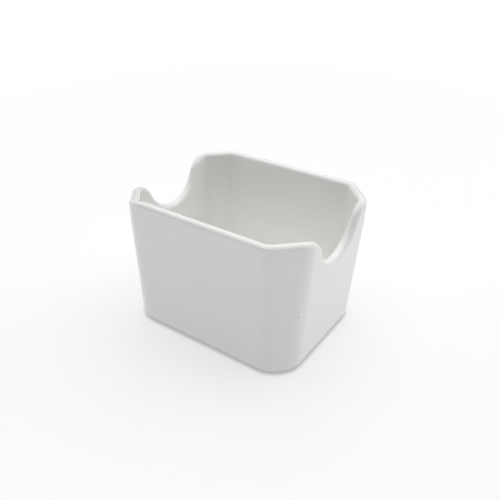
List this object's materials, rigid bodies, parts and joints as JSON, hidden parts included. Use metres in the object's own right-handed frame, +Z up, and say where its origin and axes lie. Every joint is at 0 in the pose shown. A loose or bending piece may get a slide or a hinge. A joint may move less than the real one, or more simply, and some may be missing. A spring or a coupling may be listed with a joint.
{
  "type": "sugar packet holder",
  "caption": "White glazed porcelain tub with clipped corners, drafted walls, a round lip and a finger scoop in each short end, to hold sugar packets upright on a table.",
  "frame": {"origin": "centre of the foot, on the plane the holder stands on", "axes": "+X along the length towards one scooped end, +Y across the width, +Z up"},
  "size_m": [0.096, 0.0776, 0.065],
  "materials": {
    "porcelain": "clear gloss glaze over white porcelain, with a bare foot ring"
  },
  "bodies": {
    "root": {"porcelain_body": "porcelain"}
  },
  "joints": []
}
